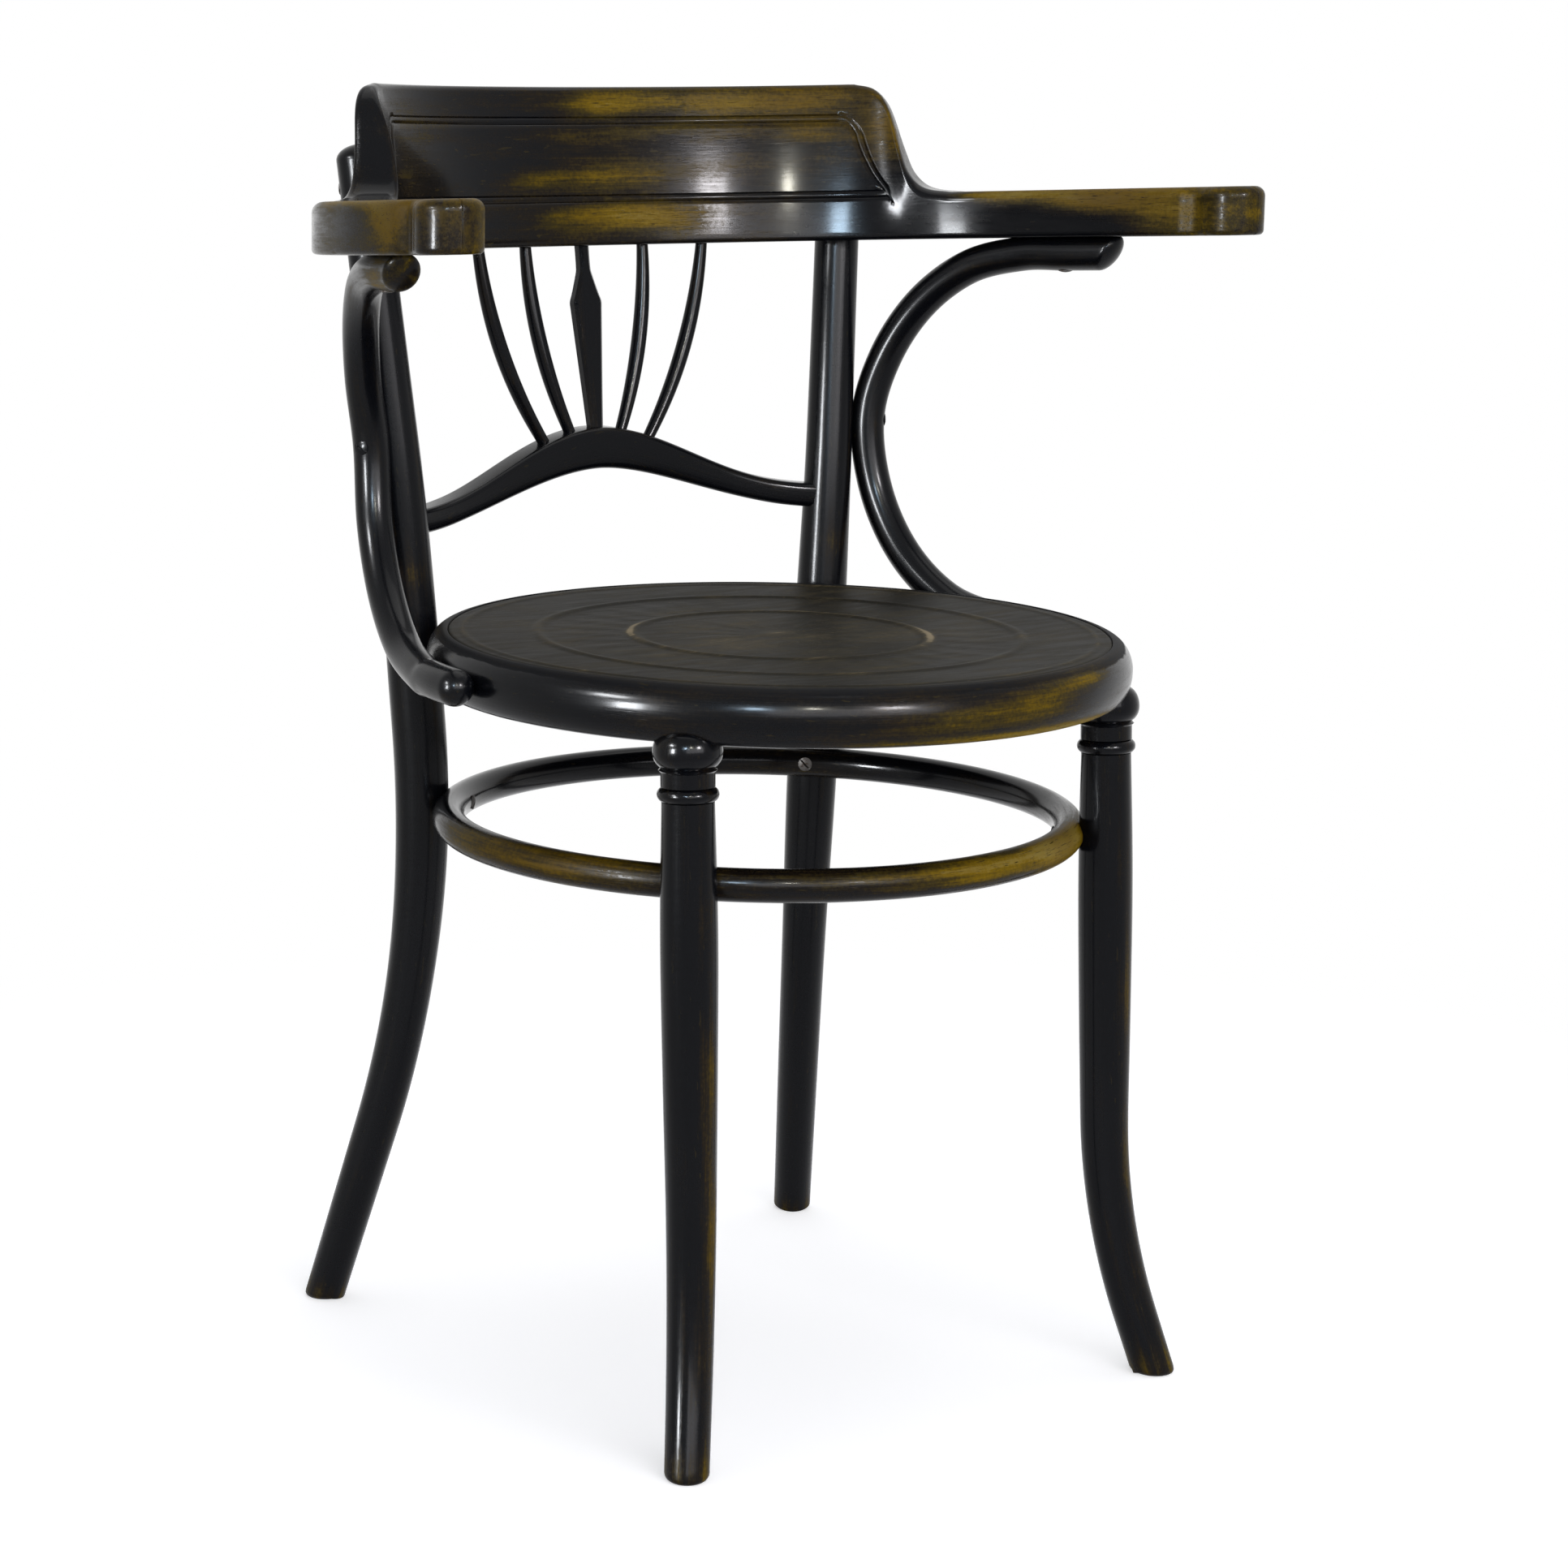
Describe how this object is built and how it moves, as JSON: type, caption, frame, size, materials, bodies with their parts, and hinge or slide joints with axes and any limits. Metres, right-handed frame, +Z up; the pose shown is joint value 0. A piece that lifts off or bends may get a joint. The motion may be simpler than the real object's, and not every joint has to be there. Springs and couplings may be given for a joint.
{
  "type": "bentwood armchair",
  "caption": "Bentwood armchair: round seat on splayed round legs tied by a ring, crest rail running on into flat arms, spindle back and C-shaped arm supports.",
  "frame": {"origin": "on the floor, under the middle of the chair's overall box", "axes": "+Z up, the sitter faces -Y, +X on the sitter's left"},
  "size_m": [0.611, 0.4657, 0.7831],
  "materials": {
    "ebonised_beech": "black lacquer, glossy, with rubbed edges",
    "worn_beech": "black lacquer worn through to golden brown",
    "pressed_plywood": "satin, worn, with a pressed pattern",
    "darkened_steel": "darkened with age"
  },
  "bodies": {
    "root": {"seat_ring": "ebonised_beech", "stretcher_ring": "ebonised_beech", "cross_rail": "ebonised_beech", "lance_splat": "ebonised_beech", "front_leg_left": "ebonised_beech", "front_leg_right": "ebonised_beech", "rear_leg_left": "ebonised_beech", "rear_leg_right": "ebonised_beech", "arm_support_left": "ebonised_beech", "arm_support_right": "ebonised_beech", "spindle_inner_left": "ebonised_beech", "spindle_inner_right": "ebonised_beech", "spindle_outer_left": "ebonised_beech", "spindle_outer_right": "ebonised_beech", "arm_bow": "worn_beech", "seat_panel": "pressed_plywood", "arm_screw_left": "darkened_steel", "crest_screw_left": "darkened_steel", "seat_screw_left": "darkened_steel", "support_screw_left": "darkened_steel", "stretcher_screw_front_left": "darkened_steel", "stretcher_screw_rear_left": "darkened_steel", "seat_bolt_left": "darkened_steel", "seat_nut_left": "darkened_steel", "seat_washer_left": "darkened_steel", "arm_screw_right": "darkened_steel", "crest_screw_right": "darkened_steel", "seat_screw_right": "darkened_steel", "support_screw_right": "darkened_steel", "stretcher_screw_front_right": "darkened_steel", "stretcher_screw_rear_right": "darkened_steel", "seat_bolt_right": "darkened_steel", "seat_nut_right": "darkened_steel", "seat_washer_right": "darkened_steel"}
  },
  "joints": []
}
